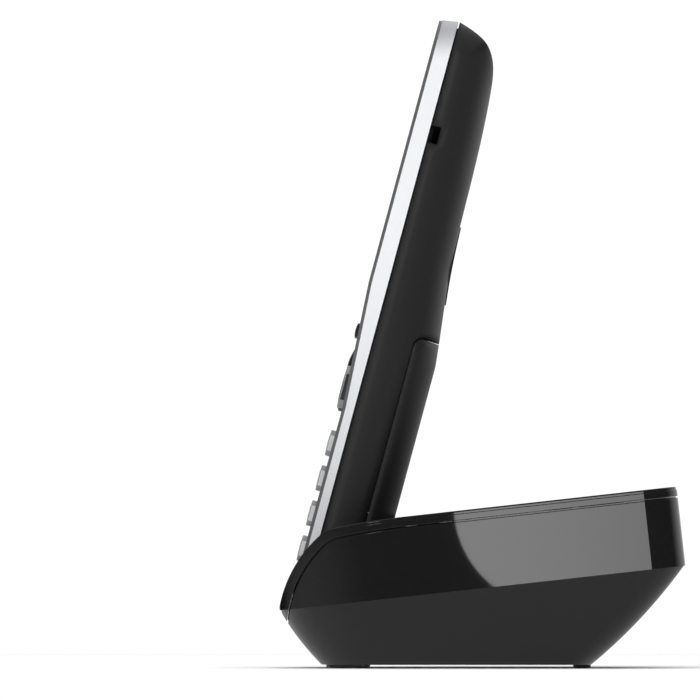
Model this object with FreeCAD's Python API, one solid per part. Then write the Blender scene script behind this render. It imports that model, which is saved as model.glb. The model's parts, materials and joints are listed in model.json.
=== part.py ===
import FreeCAD, Part
import math
import os

# Cordless phone with its charging base. Millimetres and degrees.
# World frame: +Z up, +Y to the rear, X across, origin on the table under the middle of the base.

# ---- base ----
base_width = 92.0            # across the belt
base_depth = 107.8           # along the deck, front lip to rear wall
deck_tilt = 6.35             # deck rises to the rear
crease_height = 21.2         # mid-height of the sharp edge where belt meets undercut
belt_height = 20.95          # crease to deck, square to the deck
rear_corner = 9.0            # plan radius at the rear
front_corner = 34.0          # plan radius at the front
front_arcs = ((163.0, 6.2), (10.0, 30.4), (34.0, 38.0))   # radius, turn: deck down to the front lip
base_wall = 2.0
lid_thickness = 2.6
lid_edge_radius = 0.4
lid_step = 0.85              # the lid's top stands this far above its rim
lid_step_inset = 0.2
edge_radius = 0.18           # eased edges along the seams
seam_groove = 0.35           # shadow gap between lid and belt
seam_depth = 0.5
foot_front = 42.3            # flat underside: distances from the origin
foot_rear = 28.9
foot_width = 58.0
foot_front_corner = 14.0
foot_rear_corner = 7.0
foot_height = 0.9
undercut_bulge = 0.9         # how far the undercut walls swell outwards
bottom_thickness = 2.0
front_feet_span = (-41.0, -29.4)
rear_feet_span = (24.6, 28.8)
front_feet_x = 13.0
rear_feet_x = 17.0
feet_width = 10.0

# ---- handset, in its own frame: x across, y towards its back, z up its length, y = 0 at the seam ----
lean = 15.1
seam_foot_y = -46.4          # where the seam's lower end stands, in the world
seam_foot_z = 20.5
handset_length = 155.6
handset_width = 48.0
handset_depth = 17.7         # seam to back, at the battery
seam_inset = 0.4             # the side is this much slimmer at the seam than at its widest
top_corner = 9.0
bottom_corner = 7.0
section_spare = 0.15         # the rolled sides stand this much outside the flat back
shell_wall = 1.5
band_wall = 1.6
post_x = 18.6                # screw posts inside the frame
post_radius = 2.2
post_inset = 5.5             # in from the battery cover's ends
band_gap = 0.35              # shadow gap between band and shell
face_high = 5.2              # face plate's front, above the keys
face_low = 3.25              # and beside the number keys
slope_top = 72.6             # the face slopes between these distances from the top
slope_bottom = 106.6
face_thickness = 0.85
top_draft = 0.9              # the frame's top end leans back by this much over its depth
# distance from the top, distance behind the seam
back_curve = ((0.0, 0.0), (2.0, 5.6), (3.9, 8.6), (8.1, 11.4), (15.6, 12.9), (41.6, 14.15),
              (65.6, 15.0), (78.6, 16.45), (89.6, handset_depth))

# ---- battery cover and bay ----
cover_part = 10.6            # the cover's side edges lie this far behind the seam
cover_top = 83.4             # from the top of the handset
cover_bottom = 20.2          # from the bottom
cover_open_gap = 0.2
cover_corner = 2.3
cover_top_slope = 0.5        # the top edge drops by this much towards the back
shelf_drop = 1.6             # shelf behind the cover's edges
shelf_thickness = 1.4
cell_diameter = 10.4
cell_length = 44.0
cell_button = 0.8               # height of the button on a cell
bay_floor = 4.7              # cell side of the bay's floor
bay_wall = 1.2
stop_half = 1.0              # stops between the cells' ends
stop_back = 14.0

# ---- keys ----
key_travel = 0.4
key_gap = 0.2
key_front = 4.65
key_width = 11.4
key_height = 6.9
key_pitch_x = 13.6
key_pitch_z = 9.6
bottom_row = 10.5            # centre of the lowest row, from the handset's bottom
key_corner = 1.4
key_easing = 0.35
flange_rim = 0.6
flange_thickness = 0.6
flange_back = 1.6            # back of every key's flange, in front of the seam
nav_centre_z = 56.6
nav_radius = 8.5
nav_front = 4.9
ok_radius = 3.3
call_key_width = 9.4
call_key_height = 11.4
call_key_x = 14.9
call_key_z = 54.6
soft_key_width = 9.4
soft_key_height = 3.8
soft_key_x = 14.9
soft_key_z = 69.9
soft_front = 5.3

# ---- display, sound and boards ----
window_width = 39.0
window_top = 18.6            # from the top of the handset
window_bottom = 70.6
window_gap = 0.12
module_width = 34.0
board_width = 31.0
board_thickness = 1.0
earpiece_from_top = 10.5
microphone_z = 4.9
speaker_from_top = 62.6
speaker_radius = 9.5
grille_half_width = 13.5
grille_half_height = 10.5
grille_proud = 0.35
clip_from_top = 30.7
clip_length = 4.7
clip_depth = 2.7
clip_cut = 2.0               # through the shell's wall

# ---- pocket and contacts ----
pocket_gap = 0.4
pocket_wall = 1.5
pocket_floor_gap = 0.3
mouth_gap = 2.0              # room behind the handset at the mouth, where the battery cover swings
lip_height = 6.6             # front lip, up the handset
contact_x = 9.0
contact_y = 8.0
contact_width = 3.0
screw_x = 21.0
screw_front = -14.0
screw_rear = 21.0

# ---- rear sockets and deck key ----
socket_x = 11.0
socket_hole_height = 6.6
socket_hole_width = 9.8
power_hole_width = 7.8
socket_length = 12.0
socket_face = 33.2
socket_bottom = 7.4
paging_y = 34.0              # along the deck
paging_radius = 6.0
lens_y = 22.0


def vec(x, y, z):
    return FreeCAD.Vector(x, y, z)


def box(x0, x1, y0, y1, z0, z1):
    return Part.makeBox(x1 - x0, y1 - y0, z1 - z0, vec(x0, y0, z0))


def disc_y(x, z, radius, y0, y1):
    """Round bar along y."""
    return Part.makeCylinder(radius, y1 - y0, vec(x, y0, z), vec(0, 1, 0))


def disc_z(x, y, radius, z0, z1):
    return Part.makeCylinder(radius, z1 - z0, vec(x, y, z0), vec(0, 0, 1))


def rounded(corners):
    """Closed wire in the XY plane: straight sides joined by a tangent arc at each (x, y, radius)."""
    edges = []
    ends = []
    count = len(corners)
    for i, (x, y, radius) in enumerate(corners):
        here = vec(x, y, 0)
        back = vec(*corners[i - 1][:2], 0) - here
        ahead = vec(*corners[(i + 1) % count][:2], 0) - here
        half = back.getAngle(ahead) / 2
        reach = radius / math.tan(half)
        back.normalize()
        ahead.normalize()
        middle = back + ahead
        middle.normalize()
        centre = here + middle * (radius / math.sin(half))
        ends.append((here + back * reach, centre - middle * radius, here + ahead * reach))
    for i, (start, crown, end) in enumerate(ends):
        edges.append(Part.Arc(start, crown, end).toShape())
        edges.append(Part.LineSegment(end, ends[(i + 1) % count][0]).toShape())
    return Part.Wire(edges)


def plate(wire, z0, z1):
    """Solid between two levels of z, with the wire's outline."""
    face = Part.Face(wire)
    face.translate(vec(0, 0, z0))
    return face.extrude(vec(0, 0, z1 - z0))


def bar_x(points, half_width):
    """Prism along x from a closed outline in the YZ plane, given as edges or (y, z) points."""
    if isinstance(points[0], tuple):
        corners = [vec(-half_width, y, z) for y, z in points]
        wire = Part.makePolygon(corners + corners[:1])
    else:
        wire = Part.Wire(points)
        wire.translate(vec(-half_width, 0, 0))
    return Part.Face(wire).extrude(vec(2 * half_width, 0, 0))


def pad(x, z, width, height, radius, y0, y1):
    """Rounded rectangular block that stands on the handset's face."""
    w = width / 2
    h = height / 2
    block = plate(rounded(((-w, -h, radius), (w, -h, radius), (w, h, radius), (-w, h, radius))), 0, y1 - y0)
    block.rotate(vec(0, 0, 0), vec(1, 0, 0), 90)
    block.translate(vec(x, y1, z))
    return block


# ======== the base's outer form ========

deck_frame = FreeCAD.Placement(vec(0, 0, crease_height), FreeCAD.Rotation(vec(1, 0, 0), deck_tilt))
half_depth = base_depth / 2
tilt = math.radians(deck_tilt)


def on_deck(shape):
    """Moves a shape from the deck's frame to the world."""
    placed = shape.copy()
    placed.Placement = deck_frame.multiply(placed.Placement)
    return placed


def belt_outline(inset):
    w = base_width / 2 - inset
    d = half_depth - inset
    rear = rear_corner - inset
    front = front_corner - inset
    return rounded(((-w, -d, front), (w, -d, front), (w, d, rear), (-w, d, rear)))


def foot_outline(inset, share):
    """Outline between crease and underside: share 0 at the crease, 1 at the flat underside."""
    crease_y = half_depth * math.cos(tilt)
    swell = 4 * share * (1 - share) * undercut_bulge
    w = base_width / 2 + (foot_width - base_width) / 2 * share + swell - inset
    front = crease_y + (foot_front - crease_y) * share + swell - inset
    rear = crease_y + (foot_rear - crease_y) * share + swell - inset
    front_r = front_corner + (foot_front_corner - front_corner) * share - inset
    rear_r = rear_corner + (foot_rear_corner - rear_corner) * share - inset
    wire = rounded(((-w, -front, front_r), (w, -front, front_r), (w, rear, rear_r), (-w, rear, rear_r)))
    slope = deck_tilt * (1 - share)
    wire.rotate(vec(0, 0, 0), vec(1, 0, 0), slope)
    wire.translate(vec(0, 0, crease_height * (1 - share) + foot_height * share))
    return wire


def under_curve(inset, reach=40.0):
    """Everything behind the front curve and under the deck, moved in by inset. In the world."""
    y = front_run() - half_depth
    z = belt_height - inset
    edges = [Part.LineSegment(vec(0, half_depth + reach, z), vec(0, y, z)).toShape()]
    angle = 0.0
    for radius, turn in front_arcs:
        r = radius - inset
        cy = y + r * math.sin(angle)
        cz = z - r * math.cos(angle)
        mid = angle + math.radians(turn) / 2
        angle += math.radians(turn)
        middle = vec(0, cy - r * math.sin(mid), cz + r * math.cos(mid))
        end = vec(0, cy - r * math.sin(angle), cz + r * math.cos(angle))
        edges.append(Part.Arc(vec(0, y, z), middle, end).toShape())
        y = end.y
        z = end.z
    low = -reach
    foot = vec(0, y - (z - low) / math.tan(angle), low)
    far = half_depth + reach
    corners = [vec(0, y, z), foot, vec(0, far, low), vec(0, far, belt_height - inset)]
    edges += [Part.LineSegment(a, b).toShape() for a, b in zip(corners, corners[1:])]
    return on_deck(bar_x(edges, base_width))


def front_run():
    """How far back from the front lip the deck's flat begins."""
    angle = 0.0
    run = 0.0
    drop = 0.0
    for radius, turn in front_arcs:
        after = angle + math.radians(turn)
        run += radius * (math.sin(after) - math.sin(angle))
        drop += radius * (math.cos(angle) - math.cos(after))
        angle = after
    return run + (belt_height - drop) / math.tan(angle)


def base_form(inset):
    """The base's whole outer body, or its inner space when inset by the wall."""
    belt = on_deck(plate(belt_outline(inset), -0.02, belt_height + 5))
    lower = Part.makeLoft([foot_outline(inset, share) for share in (0, 0.5, 1)], True, False)
    return belt.fuse(lower).removeSplitter()


# ======== the handset's outer form ========

dock = FreeCAD.Placement(vec(0, seam_foot_y, seam_foot_z), FreeCAD.Rotation(vec(1, 0, 0), -lean))


def docked(shape):
    """Moves a shape from the handset's frame to the world."""
    placed = shape.copy()
    placed.Placement = dock.multiply(placed.Placement)
    return placed


def face_outline(inset):
    """Front view of the handset, as a wire in the XY plane whose y is the handset's z."""
    w = handset_width / 2 - seam_inset - inset
    top = top_corner - inset
    bottom = bottom_corner - inset
    high = handset_length - inset
    return rounded(((-w, inset, bottom), (w, inset, bottom), (w, high, top), (-w, high, top)))


def face_block(inset, y0, y1):
    """The front view's outline, as a solid from y0 to y1."""
    block = plate(face_outline(inset), 0, y1 - y0)
    block.rotate(vec(0, 0, 0), vec(1, 0, 0), 90)
    block.translate(vec(0, y1, 0))
    return block


def back_points(inset):
    """Points of the back curve in (y, z), each moved inwards along its normal."""
    points = [vec(0, depth, handset_length - down) for down, depth in back_curve]
    curve = Part.BSplineCurve()
    curve.interpolate(points)
    moved = []
    for point in points:
        along = curve.tangent(curve.parameter(point))[0]
        moved.append(point + vec(0, along.z, -along.y) * inset)
    return moved


def side_block(inset):
    """Side view of the rear shell as a prism: top and back curve, flat battery back, bottom."""
    points = back_points(inset)
    curve = Part.BSplineCurve()
    curve.interpolate(points)
    deep = points[-1].y
    low = inset
    edges = [curve.toShape()]
    corners = [points[-1], vec(0, deep, low), vec(0, -10, low), vec(0, -10, points[0].z), points[0]]
    edges += [Part.LineSegment(a, b).toShape() for a, b in zip(corners, corners[1:])]
    return bar_x(edges, handset_width)


def section(z, depth, inset):
    """Cross-section of the shell: nearly flat sides that roll over into a rounded back."""
    w = handset_width / 2 - inset
    d = depth - inset
    seam = w - seam_inset
    right = [vec(seam, -10, z), vec(seam, 0, z), vec(w, 0.32 * d, z), vec(w - 1.6, 0.66 * d, z),
             vec(w - 7.2, 0.92 * d, z), vec(0, d, z)]
    left = [vec(-p.x, p.y, z) for p in reversed(right[1:-1])]
    curve = Part.BSplineCurve()
    curve.interpolate(right[1:] + left)
    front = [vec(-seam, 0, z), vec(-seam, -10, z), right[0], right[1]]
    lines = [Part.LineSegment(a, b).toShape() for a, b in zip(front, front[1:])]
    return Part.Wire([curve.toShape()] + lines)


def shell_form(inset):
    """The handset's body behind the seam, or its inner space when inset."""
    stations = [(-5.0, back_curve[-1][1])]
    for down, depth in reversed(back_curve[4:]):
        stations.append((handset_length - down, depth))
    stations.append((handset_length + 5.0, back_curve[4][1] - 0.6))
    body = Part.makeLoft([section(z, depth + section_spare, inset) for z, depth in stations], True, True)
    return body.common(side_block(inset)).common(face_block(inset - seam_inset, -5, 30))


def behind_face(offset, inset=0.0):
    """Everything behind the face plate's front moved back by offset, up to the seam.
    The front slopes between the keypad and the display, and the top end leans back."""
    low = offset - face_low
    high = offset - face_high
    top = handset_length - inset
    outline = [(low, -1.0), (low, handset_length - slope_bottom), (high, handset_length - slope_top),
               (high, top - top_draft * -high / face_high), (0.0, top), (0.0, -1.0)]
    return bar_x(outline, handset_width)


def slab_face(offset, thickness):
    return behind_face(offset).cut(behind_face(offset + thickness))


# ======== handset pieces ========

def key_places():
    names = (("key_1", "key_2", "key_3"), ("key_4", "key_5", "key_6"), ("key_7", "key_8", "key_9"),
             ("key_star", "key_0", "key_hash"))
    places = {}
    for row, row_names in enumerate(names):
        for column, name in enumerate(row_names):
            places[name] = ((column - 1) * key_pitch_x, bottom_row + (3 - row) * key_pitch_z)
    return places


# name: x, z, width, height, corner radius, front
pads = {name: (x, z, key_width, key_height, key_corner, key_front) for name, (x, z) in key_places().items()}
for side, name in ((-1, "soft_key_left"), (1, "soft_key_right")):
    pads[name] = (side * soft_key_x, soft_key_z, soft_key_width, soft_key_height, 1.5, soft_front)
for side, name in ((-1, "talk_key"), (1, "end_key")):
    pads[name] = (side * call_key_x, call_key_z, call_key_width, call_key_height, 2.2, nav_front + 0.1)


def key(name):
    """A hard cap that stands through the face plate, with a flange that keeps it in."""
    x, z, width, height, corner, top = pads[name]
    cap = pad(x, z, width, height, corner, -top, -flange_back)
    cap = cap.makeFillet(key_easing, [e for e in cap.Edges if e.BoundBox.YMax < -top + 0.01])
    rim = 2 * flange_rim
    front = -flange_back - flange_thickness
    flange = pad(x, z, width + rim, height + rim, corner + flange_rim, front, -flange_back)
    return cap.fuse(flange).removeSplitter()


def key_hole(name):
    x, z, width, height, corner, front = pads[name]
    gap = 2 * key_gap
    return pad(x, z, width + gap, height + gap, corner + key_gap, -10, 0)


def nav_ring():
    ring = disc_y(0, nav_centre_z, nav_radius, -nav_front + 0.6, -flange_back)
    raised = disc_y(0, nav_centre_z, nav_radius - 2.0, -nav_front, -nav_front + 0.6)
    flange = disc_y(0, nav_centre_z, nav_radius + flange_rim, -flange_back - flange_thickness, -flange_back)
    hole = disc_y(0, nav_centre_z, ok_radius + key_gap, -10, 0)
    under = disc_y(0, nav_centre_z, ok_radius + flange_rim + key_gap,
                   -flange_back - flange_thickness - key_travel - key_gap, 0)
    return ring.fuse(raised).fuse(flange).cut(hole).cut(under).removeSplitter()


def nav_centre():
    cap = disc_y(0, nav_centre_z, ok_radius, -nav_front, -flange_back)
    cap = cap.makeFillet(0.3, [e for e in cap.Edges if e.BoundBox.YMax < -nav_front + 0.01])
    flange = disc_y(0, nav_centre_z, ok_radius + flange_rim, -flange_back - flange_thickness, -flange_back)
    return cap.fuse(flange).removeSplitter()


def window_block(gap, y0, y1):
    high = window_bottom - window_top
    middle = handset_length - (window_top + window_bottom) / 2
    return pad(0, middle, window_width + 2 * gap, high + 2 * gap, 2.0 + gap, y0, y1)


def earpiece_slot(grow, y0, y1):
    return pad(0, handset_length - earpiece_from_top, 13.0 + 2 * grow, 2.4 + 2 * grow, 1.19 + grow, y0, y1)


def front_panel():
    panel = slab_face(0, face_thickness).common(behind_face(0, 0.2)).common(face_block(0.15, -20, 0))
    for name in pads:
        panel = panel.cut(key_hole(name))
    panel = panel.cut(disc_y(0, nav_centre_z, nav_radius + key_gap, -10, 0))
    panel = panel.cut(window_block(window_gap, -10, 0)).cut(earpiece_slot(0.1, -10, 0))
    return panel.cut(disc_y(0, microphone_z, 0.6, -10, 0))


def display_window():
    return slab_face(0.05, 0.8).common(window_block(0, -10, 0))


def display_module():
    middle = handset_length - (window_top + window_bottom) / 2
    return pad(0, middle, module_width, window_bottom - window_top - 4, 0.5, -face_high + 1.1, -1.4)


def earpiece_mesh():
    return slab_face(0.15, 0.5).common(earpiece_slot(0, -10, 0))


def earpiece():
    return disc_y(0, handset_length - earpiece_from_top, 5.4, -face_high + face_thickness + 0.35, -1.2)


def microphone():
    return disc_y(0, microphone_z, 1.2, -face_low + face_thickness + 0.1, -1.2)


def band_posts():
    """Screw posts inside the frame: x, z."""
    heights = (cover_bottom + post_inset, handset_length - cover_top - post_inset)
    return [(side * post_x, z) for side in (-1, 1) for z in heights]


def side_band():
    ring = behind_face(face_thickness).common(face_block(0, -20, -band_gap / 2))
    ring = ring.cut(face_block(band_wall, -20, 1))
    ledge = face_block(band_wall - 0.1, -2.15, -0.9).cut(face_block(band_wall + 1.4, -20, 1))
    ring = ring.fuse(ledge)
    for x, z in band_posts():
        ring = ring.fuse(disc_y(x, z, post_radius, -1.1, 5.0)).cut(disc_y(x, z, 0.85, 0.2, 6))
    return ring.removeSplitter()


def clip_notch(side):
    x = side * handset_width / 2
    z = handset_length - clip_from_top
    return box(x - clip_cut, x + clip_cut, -1, clip_depth, z - clip_length / 2, z + clip_length / 2)


def cover_block(gap):
    """Volume of the battery cover's outline, grown by gap, and twice that above, where the cover swings."""
    y = cover_part - gap
    z0 = cover_bottom - gap
    z1 = handset_length - cover_top + 2 * gap
    drop = cover_top_slope * (40 - y) / (handset_depth - y)
    block = bar_x([(y, z0), (40, z0), (40, z1 - drop), (y, z1)], handset_width)
    corner = vec(0, y, z1)
    edge = [e for e in block.Edges if e.CenterOfMass.distanceToPoint(corner) < 0.01]
    return block.makeFillet(cover_corner + gap, edge)


def grille_bar(grow):
    z = handset_length - speaker_from_top
    shape = Part.Ellipse(vec(0, 0, 0), grille_half_width + grow, grille_half_height + grow).toShape()
    bar = Part.Face(Part.Wire(shape)).extrude(vec(0, 0, 20))
    bar.rotate(vec(0, 0, 0), vec(1, 0, 0), 90)
    bar.translate(vec(0, 30, z))
    return bar


def rear_shell():
    outer = shell_form(0)
    shell = outer.cut(shell_form(shell_wall)).cut(box(-30, 30, -20, band_gap / 2, -5, handset_length + 5))
    tongue = face_block(band_wall + 0.15, -0.8, 1.0).cut(face_block(band_wall + 1.15, -1, 2))
    shell = shell.fuse(tongue)
    for side in (-1, 1):
        shell = shell.cut(clip_notch(side))
    # the bay: a shelf behind the cover's edges with a trough for the cells
    top = handset_length - cover_top
    shelf_back = cover_part - shelf_drop
    shelf_front = shelf_back - shelf_thickness
    shelf = box(-30, 30, shelf_front, shelf_back, cover_bottom - 1.5, top + 1.5)
    trough_x = cell_diameter + 0.8
    trough = box(-trough_x - bay_wall, trough_x + bay_wall, bay_floor - bay_wall, shelf_back,
                 cover_bottom - 0.2, top + 0.2)
    ends = box(-30, 30, shelf_front, 30, cover_bottom - 1.5, cover_bottom - 0.2)
    ends = ends.fuse(box(-30, 30, shelf_front, 30, top + 0.2, top + 1.5))
    bay = shelf.fuse(trough).fuse(ends).common(shell_form(shell_wall - 0.1))
    hollow = box(-trough_x, trough_x, bay_floor, 40, cover_bottom + 1, top - 1)
    shell = shell.fuse(bay).cut(hollow).cut(cover_block(cover_open_gap))
    middle = (cover_bottom + top) / 2
    stop_ends = ((cover_bottom - 0.4, middle - cell_length / 2 - 0.1),
                 (middle + cell_length / 2 - cell_button + 0.1, top + 0.4))
    for low, high in stop_ends:
        shell = shell.fuse(box(-stop_half, stop_half, bay_floor - 0.5, stop_back, low, high))
    for x, z in band_posts():
        shell = shell.cut(disc_y(x, z, 1.15, 4, 20))
    shell = shell.cut(grille_bar(0.3))
    for side in (-1, 1):
        x = side * contact_x
        shell = shell.cut(box(x - 2.6, x + 2.6, contact_y - 2.6, contact_y + 2.6, -1, 0.6))
    return shell.removeSplitter()


def battery_cover():
    skin = shell_form(0).cut(shell_form(shell_wall))
    cover = skin.common(cover_block(0))
    return cover.removeSplitter()


def battery_cells():
    radius = cell_diameter / 2
    middle = (cover_bottom + handset_length - cover_top) / 2
    low = middle - cell_length / 2
    cells = []
    for side in (-1, 1):
        x = side * (radius + 0.3)
        y = bay_floor + radius + 0.1
        shoulder = low + cell_length - cell_button
        can = disc_z(x, y, radius, low, shoulder)
        button = disc_z(x, y, 1.9, shoulder, low + cell_length)
        cells.append(can.fuse(button).removeSplitter())
    return Part.makeCompound(cells)


def battery_springs():
    """Contact plates at both ends of the bay."""
    low = cover_bottom + 1.1
    high = handset_length - cover_top - 1.1
    plates = []
    for side in (-1, 1):
        x = side * (cell_diameter / 2 + 0.3)
        y = bay_floor + cell_diameter / 2
        for z0, z1 in ((low, low + 0.4), (high - 0.4, high)):
            leaf = box(x - 3.4, x + 3.4, y - 3.6, y + 3.4, z0, z1)
            boss = disc_z(x, y, 1.8, z0 - 0.5, z0) if z0 > low else disc_z(x, y, 1.8, z1, z1 + 0.5)
            plates.append(leaf.fuse(boss).removeSplitter())
    return Part.makeCompound(plates)


def speaker_grille():
    z = handset_length - speaker_from_top
    skin = shell_form(-grille_proud).cut(shell_form(shell_wall))
    lens = skin.common(grille_bar(0))
    for step in range(-2, 3):
        length = 15.0 - 2.0 * abs(step)
        lens = lens.cut(pad(0, z + 2.6 * step, length, 1.0, 0.49, 5, 30))
    return lens


def loudspeaker():
    z = handset_length - speaker_from_top
    frame = disc_y(0, z, speaker_radius, 9.2, 11.6)
    magnet = disc_y(0, z, speaker_radius - 3.5, 6.6, 9.2)
    return frame.fuse(magnet).removeSplitter()


def keypad_mat():
    mat = box(-15.6, 15.6, -1.05, -0.5, 5.2, 74)
    domes = [disc_y(x, z, 2.0, -1.05, -0.5) for x, z, *rest in pads.values() if abs(x) < 15.7]
    for dome in domes:
        mat = mat.fuse(dome)
    return mat.removeSplitter()


def handset_board():
    half = board_width / 2
    board = box(-half, half, 0.0, board_thickness, 3.0, handset_length - 16)
    chip = box(-6, 6, board_thickness, board_thickness + 1.4, 78, 90)
    shield = box(-10, 10, board_thickness, board_thickness + 1.8, 108, 128)
    return board.fuse(chip).fuse(shield).removeSplitter()


def charge_pads():
    plates = []
    for side in (-1, 1):
        x = side * contact_x
        plates.append(box(x - 2.5, x + 2.5, contact_y - 2.5, contact_y + 2.5, 0.0, 0.5))
    return Part.makeCompound(plates)


def handset_screws():
    screws = []
    head_seat = cover_part - shelf_drop
    for x, z in band_posts():
        head = disc_y(x, z, 1.7, head_seat + 0.05, head_seat + 1.3)
        shank = disc_y(x, z, 0.8, 1.0, head_seat + 0.05)
        cross = box(x - 1.1, x + 1.1, head_seat + 0.8, 40, z - 0.2, z + 0.2)
        cross = cross.fuse(box(x - 0.2, x + 0.2, head_seat + 0.8, 40, z - 1.1, z + 1.1))
        screws.append(head.fuse(shank).cut(cross).removeSplitter())
    return Part.makeCompound(screws)


# ======== base pieces ========

def pocket_block(grow, floor_gap, mouth):
    """Volume of the handset's lower end with room around it, in the handset's frame.
    It flares behind the handset and opens in front above the lip."""
    half = handset_width / 2 + pocket_gap + grow
    front = -face_low - pocket_gap - grow
    back = handset_depth + pocket_gap + grow
    low = -floor_gap
    high = 60.0
    open_front = -soft_front - 1.0
    flare = mouth - pocket_gap
    outline = [(front, low), (back, low), (back, cover_bottom - 5), (back + flare, cover_bottom + 1),
               (back + flare, high), (open_front, high), (open_front, lip_height + 0.2), (front, lip_height)]
    block = bar_x(outline, half)
    corner = bottom_corner + pocket_gap + grow
    low_edges = [e for e in block.Edges
                 if abs(e.Vertexes[0].Point.z - low) < 0.01 and abs(e.Vertexes[-1].Point.z - low) < 0.01
                 and abs(e.Vertexes[0].Point.x - e.Vertexes[-1].Point.x) < 0.01]
    return block.makeFillet(corner - 2.0, low_edges)


def lid_bosses(grow, low):
    solids = []
    for side in (-1, 1):
        for y in (screw_front, screw_rear):
            solids.append(disc_z(side * screw_x, y, 3.0 + grow, low, 60))
    return Part.makeCompound(solids)


def base_lid(form):
    """Deck, front wrap and pocket."""
    rim = form.common(under_curve(lid_step)).cut(under_curve(lid_thickness))
    rim = ease(rim, lid_step, edge_radius)
    rim = ease(rim, lid_thickness, edge_radius)
    top = base_form(lid_step_inset).common(under_curve(0)).cut(under_curve(lid_step + 0.6))
    skin = ease(top, 0, lid_edge_radius).fuse(rim)
    pocket = docked(pocket_block(pocket_wall, pocket_floor_gap + pocket_wall, mouth_gap))
    inside = form.common(under_curve(0.6)).common(box(-60, 60, -60, 0, 0, 80))
    walls = pocket.common(inside)
    bosses = lid_bosses(0, foot_height + bottom_thickness + 0.1).common(under_curve(1.0))
    lid = skin.fuse(walls).fuse(bosses)
    lid = lid.cut(docked(pocket_block(0, pocket_floor_gap, mouth_gap)))
    for side in (-1, 1):
        half = contact_width / 2 + 0.3
        x = side * contact_x
        slot = box(x - half, x + half, contact_y - 3.3, contact_y + 3.3, -5, 1)
        lid = lid.cut(docked(slot))
        for y in (screw_front, screw_rear):
            lid = lid.cut(disc_z(side * screw_x, y, 1.3, 0, 14))
    lid = lid.cut(on_deck(disc_z(0, paging_y, paging_radius + key_gap, 0, 60)))
    lid = lid.cut(on_deck(disc_z(0, lens_y, 1.6, 0, 60)))
    return lid.removeSplitter()


def ease(block, level, radius):
    """Rounds the block's outer edge where it meets the deck's curve moved in by level."""
    curve = under_curve(level).Shells[0]
    chosen = []
    for edge in block.Edges:
        point = edge.valueAt((edge.FirstParameter + edge.LastParameter) / 2)
        on_curve = curve.distToShape(Part.Vertex(point))[0] < 0.02
        if on_curve and deck_frame.inverse().multVec(point).z > 2.0:
            chosen.append(edge)
    return block.makeFillet(radius, chosen)


def base_housing(form, inner):
    """Belt and undercut walls, open below for the bottom plate and cut away for the pocket."""
    low = Part.makeBox(200, 200, 60, vec(-100, -100, -60 + foot_height))
    seam = lid_thickness + seam_groove
    shell = ease(form.common(under_curve(seam)), seam, edge_radius)
    lip = form_lip()
    shell = shell.fuse(lip).cut(inner).cut(low)
    pocket = docked(pocket_block(pocket_wall + 0.15, pocket_floor_gap + pocket_wall + 0.15, mouth_gap))
    shell = shell.cut(pocket).cut(lid_bosses(0.2, -5))
    for side, width in ((-1, socket_hole_width), (1, power_hole_width)):
        shell = shell.cut(socket_body(side, width, 0.15, 60))
    return shell.removeSplitter()


def form_lip():
    """Inner lip that closes the shadow gap under the lid."""
    slab = under_curve(lid_thickness + 0.05).cut(under_curve(lid_thickness + seam_groove + 0.5))
    return base_form(seam_depth).common(slab)


def socket_body(side, width, grow, end):
    x = side * socket_x
    half = width / 2 + 1.6 + grow
    return box(x - half, x + half, socket_face - socket_length - grow, end,
               socket_bottom - 1.6 - grow, socket_bottom + socket_hole_height + 1.6 + grow)


def socket(side, width):
    """Modular socket: a moulded block with a blind rectangular mouth facing the rear."""
    body = socket_body(side, width, 0, socket_face)
    x = side * socket_x
    hole = box(x - width / 2, x + width / 2, socket_face - 10.5, socket_face + 1,
               socket_bottom, socket_bottom + socket_hole_height)
    latch = box(x - 1.6, x + 1.6, socket_face - 10.5, socket_face + 1, socket_bottom - 1.0, socket_bottom)
    return body.cut(hole).cut(latch)


def socket_wires(side, count):
    """Springy wires under the socket's roof."""
    wires = []
    top = socket_bottom + socket_hole_height
    for i in range(count):
        x = side * socket_x + (i - (count - 1) / 2) * 1.02
        wires.append(box(x - 0.2, x + 0.2, socket_face - 10.3, socket_face - 3.0, top - 0.55, top - 0.1))
    return Part.makeCompound(wires)


def base_bottom():
    bottom = Part.Face(foot_outline(base_wall + 0.15, 1)).extrude(vec(0, 0, bottom_thickness))
    for side in (-1, 1):
        for y in (screw_front, screw_rear):
            bottom = bottom.cut(disc_z(side * screw_x, y, 1.4, 0, 10))
            bottom = bottom.cut(disc_z(side * screw_x, y, 2.6, 0, foot_height + 1.2))
    return bottom


def base_screws():
    screws = []
    for side in (-1, 1):
        for y in (screw_front, screw_rear):
            x = side * screw_x
            head = disc_z(x, y, 2.4, foot_height + 0.15, foot_height + 1.2)
            shank = disc_z(x, y, 1.25, foot_height + 1.2, 12)
            slot = box(x - 1.5, x + 1.5, y - 0.3, y + 0.3, 0, foot_height + 0.6)
            slot = slot.fuse(box(x - 0.3, x + 0.3, y - 1.5, y + 1.5, 0, foot_height + 0.6))
            screws.append(head.fuse(shank).cut(slot).removeSplitter())
    return Part.makeCompound(screws)


def feet(offset, span):
    pads_here = []
    y0, y1 = span
    for side in (-1, 1):
        x = side * offset
        w = feet_width / 2
        r = 1.8
        outline = rounded(((x - w, y0, r), (x + w, y0, r), (x + w, y1, r), (x - w, y1, r)))
        pads_here.append(plate(outline, 0.0, foot_height))
    return Part.makeCompound(pads_here)


def base_board():
    z = socket_bottom - 1.6
    board = box(-24, 24, -8, 29, z - 1.6, z)
    for side in (-1, 1):
        for y in (screw_front, screw_rear):
            board = board.cut(disc_z(side * screw_x, y, 3.4, 0, 20))
    chip = box(-7, 7, -2, 12, z, z + 1.5)
    return board.fuse(chip).removeSplitter()


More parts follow.
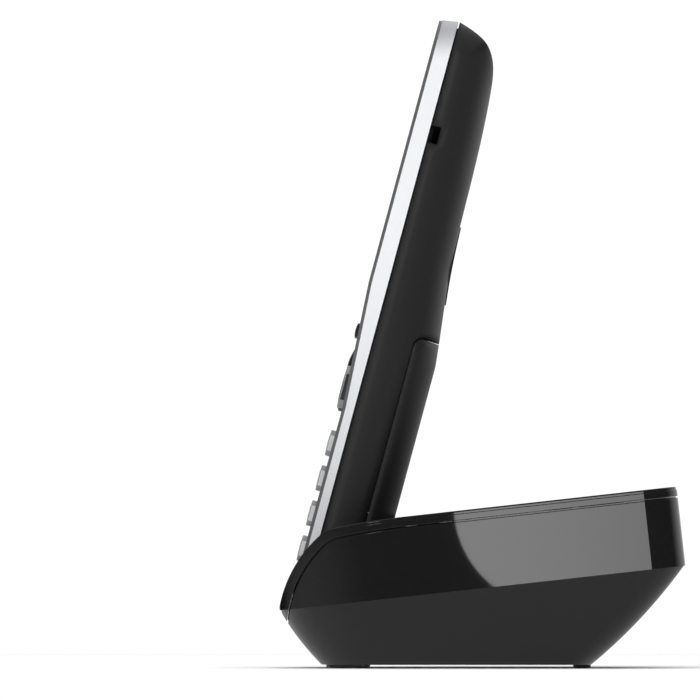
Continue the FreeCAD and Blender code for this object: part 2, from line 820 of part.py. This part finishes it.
def charge_contact(side):
    """Bent spring strip whose crown stands through the pocket floor."""
    x = side * contact_x
    half = contact_width / 2
    crown = disc_x(x - half, x + half, contact_y, -1.25, 1.2)
    leg = box(x - half, x + half, contact_y + 0.7, contact_y + 1.2, -4.4, -1.25)
    foot = box(x - half, x + half, contact_y - 2.6, contact_y + 1.2, -4.9, -4.4)
    hollow = disc_x(x - half, x + half, contact_y, -1.25, 0.7)
    opening = box(x - 5, x + 5, contact_y - 3, contact_y + 0.7, -4.4, -1.25)
    return crown.cut(hollow).cut(opening).fuse(leg).fuse(foot).removeSplitter()


def disc_x(x0, x1, y, z, radius):
    return Part.makeCylinder(radius, x1 - x0, vec(x0, y, z), vec(1, 0, 0))


def paging_key():
    cap = disc_z(0, paging_y, paging_radius, belt_height - 2.4, belt_height - 0.1)
    cap = cap.makeFillet(0.4, [e for e in cap.Edges if e.BoundBox.ZMin > belt_height - 0.11])
    flange = disc_z(0, paging_y, paging_radius + 0.9, belt_height - lid_thickness - 1.1,
                    belt_height - lid_thickness - 0.1)
    neck = disc_z(0, paging_y, paging_radius, belt_height - lid_thickness - 0.6, belt_height - 2.3)
    return cap.fuse(neck).fuse(flange).removeSplitter()


def status_lens():
    return disc_z(0, lens_y, 1.5, belt_height - lid_thickness - 1.0, belt_height - 0.05)


def build():
    form = base_form(0)
    inner = base_form(base_wall)
    shapes = {
        "base_lid": base_lid(form),
        "base_housing": base_housing(form, inner),
        "base_bottom": base_bottom(),
        "base_screws": base_screws(),
        "front_feet": feet(front_feet_x, front_feet_span),
        "rear_feet": feet(rear_feet_x, rear_feet_span),
        "base_board": base_board(),
        "line_socket": socket(-1, socket_hole_width),
        "power_socket": socket(1, power_hole_width),
        "line_wires": socket_wires(-1, 4),
        "power_wires": socket_wires(1, 2),
        "charge_contact_left": docked(charge_contact(-1)),
        "charge_contact_right": docked(charge_contact(1)),
        "paging_key": on_deck(paging_key()),
        "status_lens": on_deck(status_lens()),
    }
    handset = {
        "rear_shell": rear_shell(),
        "side_band": side_band(),
        "front_panel": front_panel(),
        "display_window": display_window(),
        "display_module": display_module(),
        "earpiece_mesh": earpiece_mesh(),
        "earpiece": earpiece(),
        "microphone": microphone(),
        "battery_cover": battery_cover(),
        "battery_cells": battery_cells(),
        "battery_springs": battery_springs(),
        "speaker_grille": speaker_grille(),
        "loudspeaker": loudspeaker(),
        "keypad_mat": keypad_mat(),
        "handset_board": handset_board(),
        "charge_pads": charge_pads(),
        "handset_screws": handset_screws(),
        "nav_ring": nav_ring(),
        "nav_centre": nav_centre(),
    }
    for name in pads:
        handset[name] = key(name)
    for name, shape in handset.items():
        shapes[name] = docked(shape)
    return shapes


os.makedirs("parts", exist_ok=True)
for name, shape in build().items():
    print(name, len(shape.Solids), round(shape.Volume, 1), shape.isValid())
    shape.exportStep("parts/" + name + ".step")
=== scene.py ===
import json
import math

import bmesh
import bpy
from mathutils import Matrix, Vector


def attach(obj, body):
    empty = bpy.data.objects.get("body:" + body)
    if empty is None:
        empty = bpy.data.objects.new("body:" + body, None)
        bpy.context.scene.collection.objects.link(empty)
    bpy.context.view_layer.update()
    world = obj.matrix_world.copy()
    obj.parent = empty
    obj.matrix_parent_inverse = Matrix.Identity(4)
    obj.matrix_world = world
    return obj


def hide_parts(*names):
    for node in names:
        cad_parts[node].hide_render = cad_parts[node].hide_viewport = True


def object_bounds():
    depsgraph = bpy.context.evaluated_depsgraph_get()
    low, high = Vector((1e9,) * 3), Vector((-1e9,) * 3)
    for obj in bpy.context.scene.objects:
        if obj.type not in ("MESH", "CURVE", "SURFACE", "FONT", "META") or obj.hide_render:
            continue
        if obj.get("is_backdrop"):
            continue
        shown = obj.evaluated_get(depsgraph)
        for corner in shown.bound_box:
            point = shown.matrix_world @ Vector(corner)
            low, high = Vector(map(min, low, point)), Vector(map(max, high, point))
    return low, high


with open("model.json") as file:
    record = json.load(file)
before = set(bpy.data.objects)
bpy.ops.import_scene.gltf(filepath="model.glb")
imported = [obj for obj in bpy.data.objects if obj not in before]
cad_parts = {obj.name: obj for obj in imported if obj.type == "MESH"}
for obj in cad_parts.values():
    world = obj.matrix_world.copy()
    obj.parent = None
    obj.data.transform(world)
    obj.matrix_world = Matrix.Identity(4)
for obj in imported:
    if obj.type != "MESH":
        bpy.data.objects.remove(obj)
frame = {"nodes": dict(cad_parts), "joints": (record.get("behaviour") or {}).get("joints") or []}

# Cordless phone in its charging base. Metres: +Z up, +Y to the rear, X across, the keypad faces -Y.
cad_low, cad_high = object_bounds()

# ---- Camera ----
# A long lens level with the base's deck, square to the phone's right-hand side.

camera_distance = 5.5
frame_width = 0.1855         # how much of the phone's middle plane the picture spans
camera_height = 0.038
aim_behind_lip = 0.0187      # the view's middle lies this far behind the base's front lip
aim_below_middle = 0.0014    # and this far below half the height
aim = Vector((0, cad_low.y + aim_behind_lip, (cad_low.z + cad_high.z) / 2 - aim_below_middle))

camera_data = bpy.data.cameras.new("camera")
camera = bpy.data.objects.new("camera", camera_data)
bpy.context.scene.collection.objects.link(camera)
camera.location = (camera_distance, aim.y, camera_height)
camera.rotation_euler = (aim - camera.location).to_track_quat("-Z", "Y").to_euler()
camera_data.lens = camera_data.sensor_width * camera_distance / frame_width
camera_data.clip_start = 0.05
camera_data.clip_end = 20
bpy.context.scene.camera = camera
bpy.context.scene.view_settings.view_transform = "Standard"

# ---- Table and sweep ----
# A matt white table top in front of a white sweep. The sweep's light falls away towards the camera,
# so that polished black plastic stays dark there and bright along its far edges.


class Value:
    """A shader socket that can be used in sums, so that masks read as plain arithmetic."""

    def __init__(self, tree, socket):
        self.tree = tree
        self.socket = socket

    def maths(self, operation, *terms):
        sockets = dict(enumerate(terms))
        return self.tree.node("ShaderNodeMath", {"operation": operation}, sockets)[0]

    def __add__(self, other):
        return self.maths("ADD", self, other)

    def __radd__(self, other):
        return self.maths("ADD", other, self)

    def __sub__(self, other):
        return self.maths("SUBTRACT", self, other)

    def __rsub__(self, other):
        return self.maths("SUBTRACT", other, self)

    def __mul__(self, other):
        return self.maths("MULTIPLY", self, other)

    def __rmul__(self, other):
        return self.maths("MULTIPLY", other, self)

    def __abs__(self):
        return self.maths("ABSOLUTE", self)

    def ramp(self, low, high):
        """0 below low, 1 above high, smooth between."""
        settings = {"interpolation_type": "SMOOTHSTEP", "clamp": True}
        return self.tree.node("ShaderNodeMapRange", settings, {0: self, 1: low, 2: high})[0]


class Tree:
    """The nodes of one material or world."""

    def __init__(self, owner):
        owner.use_nodes = True
        self.nodes = owner.node_tree.nodes
        self.links = owner.node_tree.links
        self.nodes.clear()

    def node(self, kind, settings=None, sockets=None):
        """Adds a node: its settings first, then its sockets by index or name, as values or links."""
        made = self.nodes.new(kind)
        for name, value in (settings or {}).items():
            setattr(made, name, value)
        for key, value in (sockets or {}).items():
            if isinstance(value, Value):
                self.links.new(value.socket, made.inputs[key])
            else:
                made.inputs[key].default_value = value
        return [Value(self, socket) for socket in made.outputs]


def new_piece(name, points, faces, smooth=True):
    """A mesh object from points and faces, welded, with its normals turned outwards."""
    mesh = bpy.data.meshes.new(name)
    mesh.from_pydata([tuple(point) for point in points], [], faces)
    work = bmesh.new()
    work.from_mesh(mesh)
    bmesh.ops.remove_doubles(work, verts=work.verts, dist=1e-7)
    bmesh.ops.recalc_face_normals(work, faces=work.faces)
    for face in work.faces:
        face.smooth = smooth
    work.to_mesh(mesh)
    work.free()
    made = bpy.data.objects.new(name, mesh)
    bpy.context.scene.collection.objects.link(made)
    return made


table_near = 0.45            # the table ends here on the camera's side
table_far = 0.6
table_side = 2.0
corners = [(-table_far, -table_side, 0), (table_near, -table_side, 0),
           (table_near, table_side, 0), (-table_far, table_side, 0)]
table = new_piece("table", corners, [(0, 1, 2, 3)])
table_white = bpy.data.materials.new("table_white")
tree = Tree(table_white)
place = tree.node("ShaderNodeTexCoord")[3]
grain = tree.node("ShaderNodeTexNoise", {}, {"Vector": place, "Scale": 400.0})[0]
matt = {"Base Color": (0.88, 0.88, 0.88, 1), "Roughness": grain * 0.1 + 0.85}
shader = tree.node("ShaderNodeBsdfPrincipled", {}, matt)
tree.node("ShaderNodeOutputMaterial", {}, {"Surface": shader[0]})
table.data.materials.append(table_white)
table.visible_glossy = False
table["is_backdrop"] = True

world = bpy.data.worlds.new("sweep")
bpy.context.scene.world = world
tree = Tree(world)
direction = tree.node("ShaderNodeTexCoord")[0]
across, along, height = tree.node("ShaderNodeSeparateXYZ", {}, {0: direction})
behind = (1 - across.ramp(-0.55, 0.1)) * along.ramp(-0.3, 0.0)
above = height.ramp(0.25, 0.9)
below = 1 - height.ramp(-0.16, -0.06)
glow = behind * (1 - below) * 0.9 + above * (1 - behind) * 0.3 + below * 0.45
seen = tree.node("ShaderNodeLightPath")[0]
strength = seen * 1.05 + (1 - seen) * glow
background = tree.node("ShaderNodeBackground", {}, {0: (1, 1, 1, 1), 1: strength})
tree.node("ShaderNodeOutputWorld", {}, {0: background[0]})

# ---- Lamps ----
# One large soft box overhead, one at each side of the camera, a smaller one on the keypad's side for the
# edge of the shell, and a card between phone and camera that lights nothing and shows only in gloss.


def soft_box(name, place, width, height, power, mirrored):
    lamp = bpy.data.lights.new(name, "AREA")
    lamp.shape = "RECTANGLE"
    lamp.size = width
    lamp.size_y = height
    lamp.energy = power
    made = bpy.data.objects.new(name, lamp)
    made.location = place
    made.rotation_euler = (Vector((0, 0, 0.08)) - Vector(place)).to_track_quat("-Z", "Y").to_euler()
    made.visible_camera = False
    made.visible_glossy = mirrored
    bpy.context.scene.collection.objects.link(made)


soft_box("overhead_box", (0.0, 0.0, 1.7), 2.2, 2.2, 31, False)
soft_box("keypad_box", (1.3, -1.4, 1.0), 1.0, 1.0, 14, False)
soft_box("rear_box", (1.6, 1.0, 1.0), 1.0, 1.0, 9, False)
soft_box("edge_box", (2.0, -1.0, 0.62), 0.5, 0.5, 7, True)

card_x = 3.2
corner_steps = 24
belt_side = cad_high.x       # the flat side of the belt
spread = (card_x - belt_side) / (camera_distance - belt_side)


def mirrored(y, z):
    """Where on the card a point of the belt's side looks."""
    return y + (y - camera.location.y) * spread, z + (z - camera.location.z) * spread


card_left, card_high = mirrored(-0.0075, 0.062)
card_low = mirrored(0, 0.016)[1]
card_right = 0.42
card_radius = 0.027 * (1 + spread)     # its lower left corner
points = [(card_x, card_right, card_low), (card_x, card_right, card_high), (card_x, card_left, card_high)]
for step in range(corner_steps + 1):
    angle = math.radians(180 + 90 * step / corner_steps)
    points.append((card_x, card_left + card_radius * (1 + math.cos(angle)),
                   card_low + card_radius * (1 + math.sin(angle))))
card = new_piece("card", points, [tuple(range(len(points)))])
card_glow = bpy.data.materials.new("card_glow")
tree = Tree(card_glow)
along = tree.node("ShaderNodeSeparateXYZ", {}, {0: tree.node("ShaderNodeTexCoord")[3]})[1]
fade = along.ramp(card_left, card_left + 0.16)
lit = tree.node("ShaderNodeEmission", {}, {"Color": (1, 1, 1, 1), "Strength": 4.9 - fade * 2.0})
tree.node("ShaderNodeOutputMaterial", {}, {"Surface": lit[0]})
card.data.materials.append(card_glow)
card.visible_camera = False
card.visible_diffuse = False
card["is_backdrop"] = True

# ---- Base mouldings ----
# Lid with its pocket and belt below it: two mouldings in polished black ABS, straight from a mirror-
# finished tool. The bottom plate is the same plastic with a spark texture.


class Skin:
    """A principled material in the making, with the fine marks that a real surface has."""

    def __init__(self, name, colour, rough, **constants):
        self.material = bpy.data.materials.new(name)
        self.tree = Tree(self.material)
        self.place = self.tree.node("ShaderNodeTexCoord")[3]
        self.sockets = {"Base Color": (*colour, 1), "Roughness": rough}
        for key, value in constants.items():
            self.sockets[key.replace("_", " ")] = value

    def noise(self, scale, detail=2.0):
        """Random value, mostly 0.3 to 0.7, with its cells per metre."""
        sockets = {"Vector": self.place, "Scale": scale, "Detail": detail}
        return self.tree.node("ShaderNodeTexNoise", {}, sockets)[0]

    def tint(self, mask, other):
        """Moves the base colour towards another where the mask is 1."""
        sockets = {0: mask, 6: self.sockets["Base Color"], 7: (*other, 1)}
        self.sockets["Base Color"] = self.tree.node("ShaderNodeMix", {"data_type": "RGBA"}, sockets)[2]

    def roughen(self, mask, amount):
        self.sockets["Roughness"] = mask * amount + self.sockets["Roughness"]

    def soften(self, radius):
        """Rounds the shading over edges and flats within the radius."""
        self.sockets["Normal"] = self.tree.node("ShaderNodeBevel", {"samples": 12}, {"Radius": radius})[0]

    def bump(self, height, strength, depth):
        sockets = {"Strength": strength, "Distance": depth, "Height": height}
        if "Normal" in self.sockets:
            sockets["Normal"] = self.sockets["Normal"]
        self.sockets["Normal"] = self.tree.node("ShaderNodeBump", {}, sockets)[0]

    def finish(self):
        shader = self.tree.node("ShaderNodeBsdfPrincipled", {}, self.sockets)
        self.tree.node("ShaderNodeOutputMaterial", {}, {"Surface": shader[0]})
        return self.material


def dress(material, *nodes):
    """Gives CAD nodes their finish."""
    for node in nodes:
        data = frame["nodes"][node].data
        data.materials.clear()
        data.materials.append(material)


skin = Skin("polished_black_abs", (0.0105, 0.0105, 0.0108), 0.008, IOR=1.5)
skin.roughen(skin.noise(35, 4).ramp(0.5, 0.8), 0.012)
skin.tint(skin.noise(500).ramp(0.4, 0.7), (0.0115, 0.0115, 0.0122))
polished_black = skin.finish()
dress(polished_black, "base_lid", "base_housing")

skin = Skin("spark_textured_black", (0.02, 0.02, 0.021), 0.5)
skin.roughen(skin.noise(900), 0.15)
skin.bump(skin.noise(2600, 3), 0.35, 0.00008)
dress(skin.finish(), "base_bottom", "line_socket", "power_socket")

# ---- Feet ----
# Clear silicone pads under the front edge and black rubber ones at the rear. They are die-cut and glued
# to the bottom plate.

skin = Skin("clear_silicone", (0.3, 0.31, 0.32), 0.35,
            Subsurface_Weight=0.3, Subsurface_Radius=(0.002, 0.002, 0.002))
skin.bump(skin.noise(700), 0.25, 0.0001)
dress(skin.finish(), "front_feet")

skin = Skin("black_rubber", (0.013, 0.013, 0.013), 0.6)
skin.bump(skin.noise(3000), 0.3, 0.00006)
dress(skin.finish(), "rear_feet")

# ---- Base works ----
# Circuit board in green solder mask, charging contacts bent from nickelled strip, the gilt wires of the
# two sockets, and self-tapping steel screws. The handset's board, screws and springs share the finishes.

skin = Skin("solder_mask_green", (0.015, 0.1, 0.035), 0.35)
layout = {"Vector": skin.place, "Scale": 260.0, "Mortar Size": 0.03}
trace = skin.tree.node("ShaderNodeTexBrick", {"offset": 0.3}, layout)
skin.tint(trace[1], (0.05, 0.22, 0.09))
dress(skin.finish(), "base_board", "handset_board")

skin = Skin("bright_nickel", (0.66, 0.64, 0.6), 0.22, Metallic=1.0)
skin.roughen(skin.noise(1500, 4), 0.12)
dress(skin.finish(), "charge_contact_left", "charge_contact_right", "charge_pads")

skin = Skin("spring_steel", (0.5, 0.5, 0.5), 0.3, Metallic=1.0)
skin.roughen(skin.noise(2200, 4), 0.16)
dress(skin.finish(), "base_screws", "handset_screws", "battery_springs")

skin = Skin("gold_flash", (0.85, 0.62, 0.28), 0.25, Metallic=1.0)
skin.roughen(skin.noise(3000), 0.12)
dress(skin.finish(), "line_wires", "power_wires")

# ---- Paging key and light ----
# A round polished ABS key in the deck that rings the handset, kept in by a flange under the lid, and
# the small smoked lens of the status light near it.

dress(polished_black, "paging_key")

skin = Skin("smoked_lens", (0.05, 0.07, 0.05), 0.08)
skin.tint(skin.noise(900).ramp(0.35, 0.7), (0.07, 0.1, 0.07))
dress(skin.finish(), "status_lens")

# ---- Handset shell ----
# Rear half of the handset, moulded in ABS with a soft-touch satin finish. It is screwed to the silver
# frame from inside the battery bay; a slotted insert in its back covers the ringer.

skin = Skin("satin_black_shell", (0.0135, 0.0135, 0.0138), 0.4)
skin.roughen(skin.noise(90, 4), 0.08)
skin.soften(0.0035)
skin.bump(skin.noise(4200, 2), 0.1, 0.00003)
dress(skin.finish(), "rear_shell", "speaker_grille")

# ---- Battery cover ----
# The lower back of the handset, a separate moulding in the same satin ABS. It closes over the battery bay
# and tilts open about its lower edge.

skin = Skin("satin_black_cover", (0.0125, 0.0125, 0.0128), 0.4)
skin.roughen(skin.noise(90, 4), 0.08)
skin.soften(0.0035)
skin.bump(skin.noise(4200, 2), 0.1, 0.00003)
dress(skin.finish(), "battery_cover")

# ---- Handset works ----
# Cells in printed sleeves, the dark ringer, earpiece, microphone and display module, and the keypad mat,
# moulded in grey silicone with a dome under each key.

skin = Skin("cell_sleeve", (0.08, 0.2, 0.12), 0.3)
height = skin.tree.node("ShaderNodeSeparateXYZ", {}, {0: skin.place})[2]
skin.tint(height.maths("PINGPONG", height, 0.011).ramp(0.008, 0.0082), (0.7, 0.72, 0.7))
dress(skin.finish(), "battery_cells")

skin = Skin("dark_part", (0.018, 0.018, 0.019), 0.45)
skin.roughen(skin.noise(600), 0.2)
dress(skin.finish(), "loudspeaker", "earpiece", "microphone", "display_module")

skin = Skin("keypad_silicone", (0.32, 0.33, 0.34), 0.5)
skin.bump(skin.noise(1800), 0.2, 0.00005)
dress(skin.finish(), "keypad_mat")

# ---- Side frame ----
# The silver frame between face and shell: an ABS ring with sparkling silver lacquer. Posts inside it take
# the screws of the rear shell, and a ledge runs round it behind the face plate.

lift = next(joint for joint in frame["joints"] if joint["name"] == "handset_lift")
hinge = next(joint for joint in frame["joints"] if joint["name"] == "battery_cover_tilt")
mm = 0.001
up = Vector(lift["axis"])
right = Vector((1, 0, 0))
back = up.cross(right)
hinge_back = 17.7            # the cover's hinge lies this far behind the seam
hinge_up = 20.2              # and above the handset's lower end
heel = Vector(hinge["pos_m"]) - back * hinge_back * mm - up * hinge_up * mm
turn = Matrix((right, back, up)).transposed()
handset_frame = Matrix.Translation(heel) @ turn.to_4x4() @ Matrix.Scale(mm, 4)


def docked(points):
    """Points in millimetres across, behind the seam and up the handset, moved to their place."""
    return [handset_frame @ Vector(point) for point in points]


def local_box(node):
    """Lowest and highest corners of a CAD node in the handset's own millimetres."""
    back_home = handset_frame.inverted()
    points = [back_home @ vertex.co for vertex in frame["nodes"][node].data.vertices]
    low = Vector([min(point[i] for point in points) for i in range(3)])
    high = Vector([max(point[i] for point in points) for i in range(3)])
    return low, high


skin = Skin("silver_lacquer", (0.9, 0.91, 0.93), 0.36, Metallic=0.05)
height = skin.tree.node("ShaderNodeSeparateXYZ", {}, {0: skin.place})[2]
# Painted shade: the lacquer is tinted darker towards the frame's lower end, where the base keeps light from
# it.
painted_shade_low = 1 - height.ramp(30 * mm, 120 * mm)
painted_shade_tip = height.ramp(cad_high.z - 11 * mm, cad_high.z - 2 * mm)     # painted shade, darker where the frame turns over at its top
skin.tint(painted_shade_low * 0.8, (0.62, 0.63, 0.65))
skin.tint(skin.noise(4200, 1).ramp(0.52, 0.75) * 0.7, (0.97, 0.975, 0.99))
# Painted shade at the frame's top end.
skin.tint(painted_shade_tip, (0.34, 0.345, 0.36))
skin.roughen(skin.noise(4200, 1), 0.1)
dress(skin.finish(), "side_band")

# ---- Face plate ----
# Thin moulded plate in grey lacquer, set in the frame. It has openings for keys, window and earpiece, and
# its edges keep the keys' flanges in.

skin = Skin("grey_lacquer", (0.17, 0.17, 0.175), 0.35, Metallic=0.5)
skin.tint(skin.noise(5000, 1).ramp(0.5, 0.75), (0.24, 0.24, 0.25))
dress(skin.finish(), "front_panel")

# ---- Display window ----
# Clear window printed black behind, with a narrow unprinted field where the display, switched off,
# shows a shade paler.

skin = Skin("display_glass", (0.004, 0.004, 0.0045), 0.03, Coat_Weight=1.0)
low, high = local_box("display_module")
across, along, height = skin.tree.node("ShaderNodeSeparateXYZ", {}, {0: skin.place})
middle = handset_frame @ ((low + high) / 2)
upward = (along - middle.y) * up.y + (height - middle.z) * up.z
side_margin = 1.5 * mm
end_margin = 2.5 * mm
print_edge = 0.2 * mm
half_wide = (high.x - low.x) / 2 * mm - side_margin
half_tall = (high.z - low.z) / 2 * mm - end_margin
field = (half_wide - abs(across)).ramp(0, print_edge) * (half_tall - abs(upward)).ramp(0, print_edge)
skin.tint(field, (0.022, 0.026, 0.024))
skin.roughen(skin.noise(60, 3).ramp(0.5, 0.8), 0.02)
dress(skin.finish(), "display_window")

# ---- Earpiece gauze ----
# A strip of perforated steel in the slot above the window, in front of the earpiece. Its round holes are
# pressed through, so each has a short wall behind it.


def perforated(name, low, high, depth, pitch):
    """Flat strip with rows of round holes, from one corner of the slot to the other."""
    columns = round((high.x - low.x) / pitch)
    rows = round((high.z - low.z) / pitch)
    hole = 0.3 * pitch
    thickness = 0.35
    sides = 8
    points = []
    faces = []
    for row in range(rows):
        for column in range(columns):
            x = low.x + (column + 0.5) * (high.x - low.x) / columns
            z = low.z + (row + 0.5) * (high.z - low.z) / rows
            half = Vector(((high.x - low.x) / columns, (high.z - low.z) / rows)) / 2
            start = len(points)
            for step in range(sides):
                angle = math.radians(360 * step / sides)
                along = math.cos(angle)
                upward = math.sin(angle)
                edge = max(abs(along), abs(upward))
                points.append((x + half.x * along / edge, depth, z + half.y * upward / edge))
                points.append((x + hole * along, depth, z + hole * upward))
                points.append((x + hole * along, depth + thickness, z + hole * upward))
            for step in range(sides):
                this = start + 3 * step
                after = start + 3 * ((step + 1) % sides)
                faces.append((this, after, after + 1, this + 1))
                faces.append((this + 1, after + 1, after + 2, this + 2))
    return new_piece(name, docked(points), faces, smooth=False)


skin = Skin("earpiece_steel", (0.32, 0.32, 0.33), 0.3, Metallic=1.0)
skin.roughen(skin.noise(3000), 0.15)
low, high = local_box("earpiece_mesh")
gauze = perforated("earpiece_gauze", low, high, low.y + 0.15, 0.8)
gauze.data.materials.append(skin.finish())
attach(gauze, "handset")
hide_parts("earpiece_mesh")

# ---- Keys ----
# Hard caps on the silicone mat, each with eased edges, a crowned top and a flange that the face plate
# keeps in. The number keys are frosted silver with signs printed in dark grey; the call keys are grey and
# the soft keys black. The eased edges and rounded corners of number and call keys are painted mid grey:
# painted shade on the silver keys, a painted highlight on the grey call keys.


flange = 0.6                 # how wide and how thick every key's flange is


def rounded_ring(width, height, radius, steps):
    """Points of a rounded rectangle round the origin."""
    ring = []
    radius = max(radius, 0.05)
    for side, end, start in ((1, 1, 0), (-1, 1, 90), (-1, -1, 180), (1, -1, 270)):
        for step in range(steps + 1):
            angle = math.radians(start + 90 * step / steps)
            ring.append((side * (width / 2 - radius) + radius * math.cos(angle),
                         end * (height / 2 - radius) + radius * math.sin(angle)))
    return ring


def cap(node, corner, crown, face, edge):
    """A key: from the flange's back, over the rim and up the sides to a crowned top."""
    low, high = local_box(node)
    easing = 0.25
    steps = 6
    width = high.x - low.x
    height = high.z - low.z
    top = low.y
    levels = [(0, high.y), (0, high.y - flange), (flange, high.y - flange)]
    for step in range(steps + 1):
        angle = math.radians(90 * step / steps)
        levels.append((flange + easing * (1 - math.cos(angle)), top + crown + easing * (1 - math.sin(angle))))
    inner = min(width, height) / 2 - flange - easing
    for share in (0.06, 0.2, 0.45, 0.75, 0.97):
        levels.append((flange + easing + inner * share, top + crown * (1 - share) ** 2))
    middle = (low + high) / 2
    points = []
    for inset, depth in levels:
        for x, z in rounded_ring(width - 2 * inset, height - 2 * inset, corner + flange - inset, steps):
            points.append((middle.x + x, depth, middle.z + z))
    count = len(points) // len(levels)
    faces = [tuple(range(count)), tuple(range(len(points) - count, len(points)))]
    for level in range(len(levels) - 1):
        for place in range(count):
            this = level * count + place
            after = level * count + (place + 1) % count
            faces.append((this, after, after + count, this + count))
    made = new_piece(node + "_cap", docked(points), faces)
    made.data.set_sharp_from_angle(angle=math.radians(50))
    made.data.materials.append(face)
    made.data.materials.append(edge)
    # The eased rim and the rounded side corners take the second material: painted shading of the key's edges.
    for polygon in made.data.polygons[2:]:
        level, place = divmod(polygon.index - 2, count)
        on_corner = place % (steps + 1) < steps
        eased = 2 < level < steps + 4
        polygon.material_index = int(eased or (level == 2 and on_corner))
    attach(made, node)
    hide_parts(node)


def print_sign(text, node, size, ink):
    """A printed sign on the top of a key."""
    low, high = local_box(node)
    name = node + "_sign"
    curve = bpy.data.curves.new(name, "FONT")
    curve.body = text
    curve.size = size
    curve.align_x = "CENTER"
    curve.align_y = "CENTER"
    curve.extrude = 0.015
    curve.materials.append(ink)
    made = bpy.data.objects.new(name, curve)
    bpy.context.scene.collection.objects.link(made)
    stand = Matrix.Translation(((low.x + high.x) / 2, low.y - 0.012, (low.z + high.z) / 2))
    made.matrix_world = handset_frame @ stand @ Matrix.Rotation(math.radians(90), 4, "X")
    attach(made, node)


skin = Skin("frosted_silver", (0.78, 0.79, 0.8), 0.3, Metallic=0.2)
skin.roughen(skin.noise(900), 0.08)
frosted_silver = skin.finish()

skin = Skin("dark_grey_ink", (0.02, 0.02, 0.022), 0.5)
skin.tint(skin.noise(2500).ramp(0.5, 0.8), (0.035, 0.035, 0.037))
dark_ink = skin.finish()

# Mid grey for the keys' eased edges and rounded corners: painted shade on silver keys, painted highlight on
# call keys.
skin = Skin("painted_edge_shading", (0.36, 0.365, 0.37), 0.3, Metallic=0.3)
skin.roughen(skin.noise(900), 0.08)
painted_edge_shading = skin.finish()

signs = {"key_star": "*", "key_hash": "#"}
signs.update({"key_" + digit: digit for digit in "0123456789"})
for node, sign in signs.items():
    cap(node, 1.4, 0.12, frosted_silver, painted_edge_shading)
    print_sign(sign, node, 4.6, dark_ink)

skin = Skin("call_key_grey", (0.07, 0.071, 0.073), 0.25, Metallic=0.4)
skin.roughen(skin.noise(900), 0.08)
call_grey = skin.finish()
for node in ("talk_key", "end_key"):
    cap(node, 2.2, 0.25, call_grey, painted_edge_shading)

skin = Skin("soft_key_black", (0.014, 0.014, 0.0145), 0.2)
skin.roughen(skin.noise(900), 0.08)
soft_black = skin.finish()
for node in ("soft_key_left", "soft_key_right"):
    cap(node, 1.5, 0.2, soft_black, soft_black)

# ---- Navigation key ----
# A rocking ring in gloss black, turned with a dished face, round a frosted centre button.


def turned(name, node, profile, sides=72):
    """Ring or disc round the node's middle, from (radius, depth) points in millimetres."""
    low, high = local_box(node)
    middle = (low + high) / 2
    points = []
    for side in range(sides):
        angle = 2 * math.pi * side / sides
        for radius, depth in profile:
            points.append((middle.x + radius * math.cos(angle), depth, middle.z + radius * math.sin(angle)))
    count = len(profile)
    faces = []
    for side in range(sides):
        this = side * count
        after = (side + 1) % sides * count
        for place in range(count):
            beyond = (place + 1) % count
            faces.append((this + place, this + beyond, after + beyond, after + place))
    made = new_piece(name, docked(points), faces)
    made.data.set_sharp_from_angle(angle=math.radians(40))
    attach(made, node)
    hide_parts(node)
    return made


low, high = local_box("nav_ring")
outer = (high.x - low.x) / 2
rim = outer - flange
bore = 3.5
recess = bore + 0.65         # room behind for the button's flange
profile = [(outer, high.y), (outer, high.y - flange), (rim, high.y - flange),
           (rim, low.y + 0.95), (rim - 0.1, low.y + 0.72), (rim - 0.35, low.y + 0.6),
           (rim - 1.4, low.y + 0.35), (rim - 2.6, low.y + 0.1), (bore + 1.6, low.y),
           (bore + 0.5, low.y + 0.05), (bore + 0.12, low.y + 0.17), (bore, low.y + 0.4),
           (bore, high.y - 1.2), (recess, high.y - 1.2), (recess, high.y)]
ring = turned("nav_ring_cap", "nav_ring", profile)
ring.data.materials.append(soft_black)

low, high = local_box("nav_centre")
outer = (high.x - low.x) / 2
rim = outer - flange
pole = 0.02                  # the smallest radius, so that the profile doesn't cross the axis
profile = [(pole, high.y), (outer, high.y), (outer, high.y - flange), (rim, high.y - flange),
           (rim, low.y + 0.45), (rim - 0.08, low.y + 0.25), (rim - 0.3, low.y + 0.1),
           (rim - 1.2, low.y + 0.02), (pole, low.y)]
button = turned("nav_centre_cap", "nav_centre", profile)
button.data.materials.append(frosted_silver)

# ---- Overall bounds of the finished scene ----
bpy.context.view_layer.update()
low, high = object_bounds()
